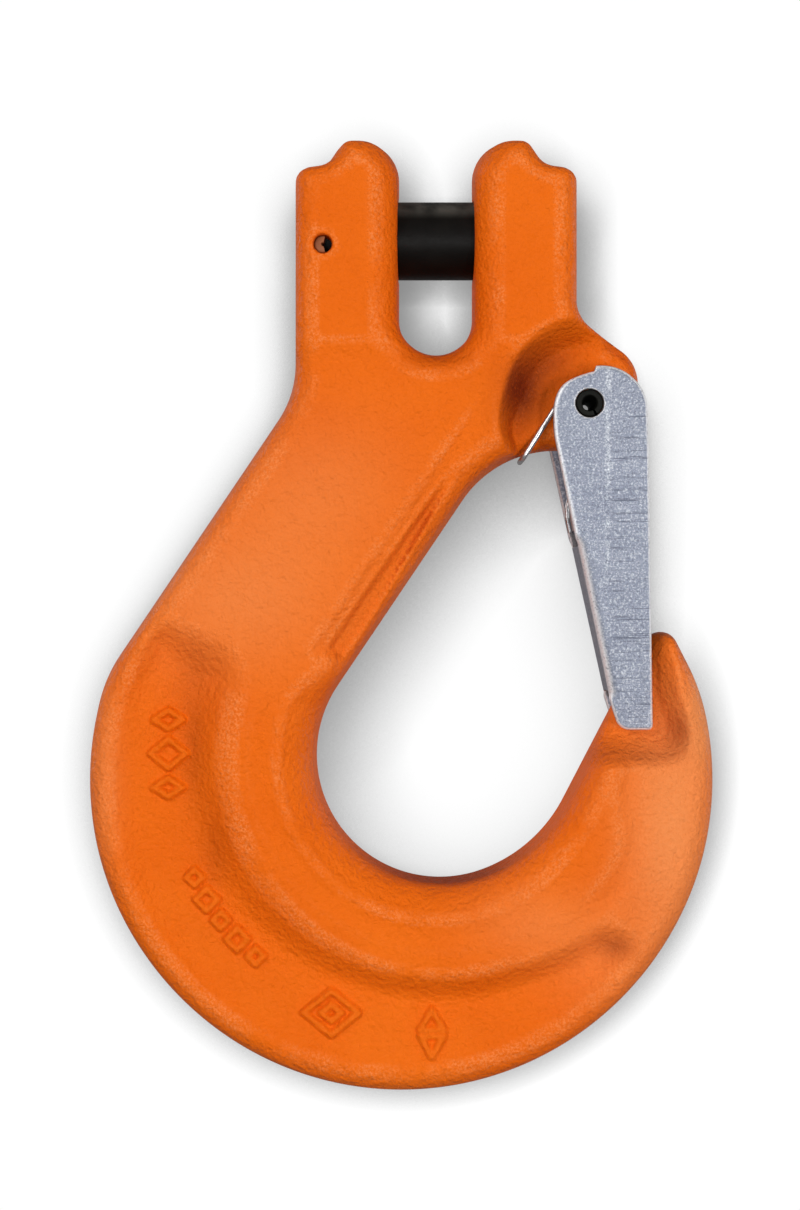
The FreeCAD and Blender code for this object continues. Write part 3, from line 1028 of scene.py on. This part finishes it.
def black_oxide(name, tone, low, high):
    """Dull dark finish, lighter where it faces up as a painted highlight, with roughness low..high."""
    material, tree, shader = node_material(name)
    vector = coordinates(tree)
    cloud = noise(tree, vector, 240, 3)
    colour = ramp(tree, cloud, [(0.35, tone), (0.7, tuple(1.7 * c for c in tone))])
    place = tree.nodes.new("ShaderNodeSeparateXYZ")
    tree.links.new(vector, place.inputs[0])
    # painted highlight: lighter grey on the upper side
    top = spread(tree, place.outputs[2], 0.0028, 0.0054)
    painted_top_light = arithmetic(tree, "MULTIPLY", top, spread(tree, cloud, 0.2, 0.7))
    colour = blend_colour(tree, painted_top_light, colour, (0.085, 0.081, 0.070))
    tree.links.new(colour, shader.inputs["Base Color"])
    grain = noise(tree, vector, 1800, 3, 0.6)
    rough = ramp(tree, grain, [(0.3, (low,) * 3), (0.7, (high,) * 3)])
    tree.links.new(rough, shader.inputs["Roughness"])
    shader.inputs["Specular IOR Level"].default_value = 0.1
    normal = bump(tree, [(grain, 0.2, 0.0001)])
    tree.links.new(normal, shader.inputs["Normal"])
    return material


def spring_wire():
    material, tree, shader = node_material("spring_wire")
    vector = coordinates(tree)
    drawn = noise(tree, vector, 1400, 3, 0.6)
    colour = ramp(tree, drawn, [(0.3, (0.42, 0.42, 0.43)), (0.7, (0.66, 0.66, 0.67))])
    tree.links.new(colour, shader.inputs["Base Color"])
    shader.inputs["Metallic"].default_value = 0.9
    rough = ramp(tree, drawn, [(0.3, (0.25, 0.25, 0.25)), (0.7, (0.38, 0.38, 0.38))])
    tree.links.new(rough, shader.inputs["Roughness"])
    normal = bump(tree, [(drawn, 0.15, 0.0001)])
    tree.links.new(normal, shader.inputs["Normal"])
    return material


# the sheet's drawn shadow: openness, grey tone
NEAR_SHADOW = [(0.4, 0.25), (0.67, 0.45), (0.8, 0.68), (0.87, 0.85), (0.94, 0.95), (1.0, 1.01)]
FAR_SHADOW = [(0.13, 0.2), (0.4, 0.42), (0.5, 0.56), (0.65, 0.78), (0.84, 0.92), (0.94, 1.01)]


def greys(stops):
    return [(place, (tone,) * 3) for place, tone in stops]


def shade(tree, distance, lean):
    """How open the backdrop is to the sky within a distance, 1 being open."""
    node = tree.nodes.new("ShaderNodeAmbientOcclusion")
    node.samples = 8
    node.inputs["Distance"].default_value = distance
    direction = tree.nodes.new("ShaderNodeNormal")
    direction.outputs["Normal"].default_value = lean
    tree.links.new(direction.outputs["Normal"], node.inputs["Normal"])
    return node.outputs["AO"]


def ball(tree, place, radius, edge):
    """1 inside a ball about a place, fading to 0 over its edge."""
    source = tree.nodes.new("ShaderNodeTexCoord")
    apart = tree.nodes.new("ShaderNodeVectorMath")
    apart.operation = "DISTANCE"
    tree.links.new(source.outputs["Object"], apart.inputs[0])
    apart.inputs[1].default_value = place
    return spread(tree, apart.outputs["Value"], radius, radius - edge)


def backdrop_material():
    """Glowing white sheet, seen from the front only.

    Its shadows are drawn by its own material from openness; the lights cast none on it.
    """
    material = bpy.data.materials.new("backdrop")
    material.use_nodes = True
    tree = material.node_tree
    tree.nodes.clear()
    out = tree.nodes.new("ShaderNodeOutputMaterial")
    near = shade(tree, 0.0095, (-0.22, -0.92, 0.3))
    near = ramp(tree, near, greys(NEAR_SHADOW))
    far = shade(tree, 0.018, (-0.32, -0.78, 0.54))
    far = ramp(tree, far, greys(FAR_SHADOW))
    bowl = ball(tree, (0.004, BACKDROP_Y, -0.078), 0.036, 0.008)
    throat = ball(tree, (0.017, BACKDROP_Y, -0.053), 0.022, 0.008)
    inside = arithmetic(tree, "MAXIMUM", bowl, throat)
    openness = tree.nodes.new("ShaderNodeMix")
    tree.links.new(inside, openness.inputs[0])
    tree.links.new(near, openness.inputs[2])
    tree.links.new(far, openness.inputs[3])
    paper = noise(tree, coordinates(tree), 40.0)
    fibre = arithmetic(tree, "MULTIPLY", paper, 0.02)
    tone = blend_colour(tree, fibre, openness.outputs[0], (0.97, 0.98, 0.98))
    glow = tree.nodes.new("ShaderNodeEmission")
    tree.links.new(tone, glow.inputs["Color"])
    clear = tree.nodes.new("ShaderNodeBsdfTransparent")
    switch = tree.nodes.new("ShaderNodeMixShader")
    facing = tree.nodes.new("ShaderNodeNewGeometry")
    tree.links.new(facing.outputs["Backfacing"], switch.inputs[0])
    tree.links.new(glow.outputs["Emission"], switch.inputs[1])
    tree.links.new(clear.outputs["BSDF"], switch.inputs[2])
    tree.links.new(switch.outputs["Shader"], out.inputs["Surface"])
    return material


# ---------------------------------------------------------------- pieces

def dress(obj, material, body, slot, *nodes):
    obj.data.materials.append(material)
    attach(obj, body)
    if nodes:
        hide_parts(*nodes)


def build_object():
    quick = 0
    paint = orange_paint()
    zinc = zinc_plate()
    wire = spring_wire()
    black = black_oxide("pin_black", (0.003, 0.0025, 0.002), 0.4, 0.52)
    # brown tone that stands in for light on the lit half of the retainer pin's end
    lit_brown_tone = black_oxide("roll_pin_painted_lit_brown", (0.20, 0.07, 0.03), 0.3, 0.45)
    dark = black_oxide("roll_pin_black", (0.005, 0.005, 0.004), 0.5, 0.65)

    forging = Forging()
    low, high = (-59.5, -13, -144), (48, 13, 18.5)
    body = solid_object("hook_forging", forging, low, high, FORGING_STEP[quick], 0.35)
    dress(body, paint, "hook", "hook_body", "hook_body")
    store_grime_shade_and_sheen(body, forging)
    dress(raised_marks(forging), paint, "hook", "hook_body")

    stamping = Latch()
    low, high = (18.5, -11, -82.5), (36.8, 11, -21)
    latch = solid_object("latch_stamping", stamping, low, high, LATCH_STEP[quick], 0.12)
    painted_rim_highlight(latch, stamping)
    dress(latch, zinc, "latch", "latch", "latch")

    dress(load_pin(), black, "hook", "load_pin", "load_pin")
    retainer = rolled_pin("retainer_roll_pin", RETAINER_X, RETAINER_Z, RETAINER_R, 0.3, 0.3, 10.9, 0, 150)
    dress(retainer, lit_brown_tone, "hook", "load_pin_retainer", "load_pin_retainer")
    pivot = rolled_pin("latch_roll_pin", *PIVOT, LATCH_PIN_R, 1.3, 0.7, 10.3, 300, 14)
    dress(pivot, dark, "hook", "latch_pin", "latch_pin")

    arm = mesh_object("spring_arms", *tube(arm_path(), WIRE_R))
    sharpen(arm, 60)
    dress(arm, wire, "hook", "latch_spring", "latch_spring")
    for side, word in ((1, "front"), (-1, "rear")):
        coil = mesh_object("spring_coil_" + word, *tube(coil_path(side), WIRE_R))
        sharpen(coil, 60)
        coil.data.materials.append(wire)
        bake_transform(coil)
        leg = mesh_object("spring_leg_" + word, *tube(leg_path(side), WIRE_R))
        sharpen(leg, 60)
        dress(leg, wire, "latch", "latch_spring")


# ---------------------------------------------------------------- studio

def area_light(name, place, size, power):
    """White rectangular light that looks at the object's centre."""
    data = bpy.data.lights.new(name, "AREA")
    data.shape = "RECTANGLE"
    data.size, data.size_y = size
    data.energy = power
    obj = bpy.data.objects.new(name, data)
    obj.location = place
    direction = Vector(CENTRE) - Vector(place)
    obj.rotation_euler = direction.to_track_quat("-Z", "Y").to_euler()
    bpy.context.scene.collection.objects.link(obj)


def build_studio():
    half = 1.5
    verts = [(x, BACKDROP_Y, z) for x, z in ((-half, -half), (half, -half), (half, half), (-half, half))]
    mesh = bpy.data.meshes.new("backdrop")
    mesh.from_pydata(verts, [], [(0, 1, 2, 3)])
    wall = bpy.data.objects.new("backdrop", mesh)
    bpy.context.scene.collection.objects.link(wall)
    mesh.materials.append(backdrop_material())
    wall.visible_diffuse = False
    wall.visible_glossy = False
    wall.visible_shadow = False

    area_light("key", (-0.65, -0.8, 0.42), (0.5, 0.5), 4.6)
    area_light("second", (0.75, -0.75, 0.0), (0.5, 0.5), 2.3)
    area_light("band", (-0.12, -1.0, -0.14), (0.3, 0.1), 2.4)
    area_light("flank_sheen", (0.42, -0.95, -0.15), (0.12, 0.3), 3.2)
    area_light("back_left", (-0.9, 0.75, 0.3), (0.5, 0.5), 2.2)
    area_light("back_right", (0.9, 0.75, 0.1), (0.5, 0.5), 1.8)

    world = bpy.data.worlds.new("studio")
    bpy.context.scene.world = world
    world.use_nodes = True
    background = world.node_tree.nodes["Background"]
    background.inputs["Color"].default_value = (1, 1, 1, 1)
    background.inputs["Strength"].default_value = 0.22
    bpy.context.scene.view_settings.view_transform = "Standard"


def build_camera():
    data = bpy.data.cameras.new("camera")
    data.sensor_fit = "VERTICAL"
    data.sensor_height = 36.0
    distance = 0.45
    frame_height = 0.2033
    data.lens = 18.0 * distance / (frame_height / 2)
    data.clip_start = 0.01
    camera = bpy.data.objects.new("camera", data)
    camera.location = (-0.00596, -distance, -0.06107)
    camera.rotation_euler = (math.radians(90), 0, 0)
    bpy.context.scene.collection.objects.link(camera)
    bpy.context.scene.camera = camera


build_object()
build_studio()
build_camera()
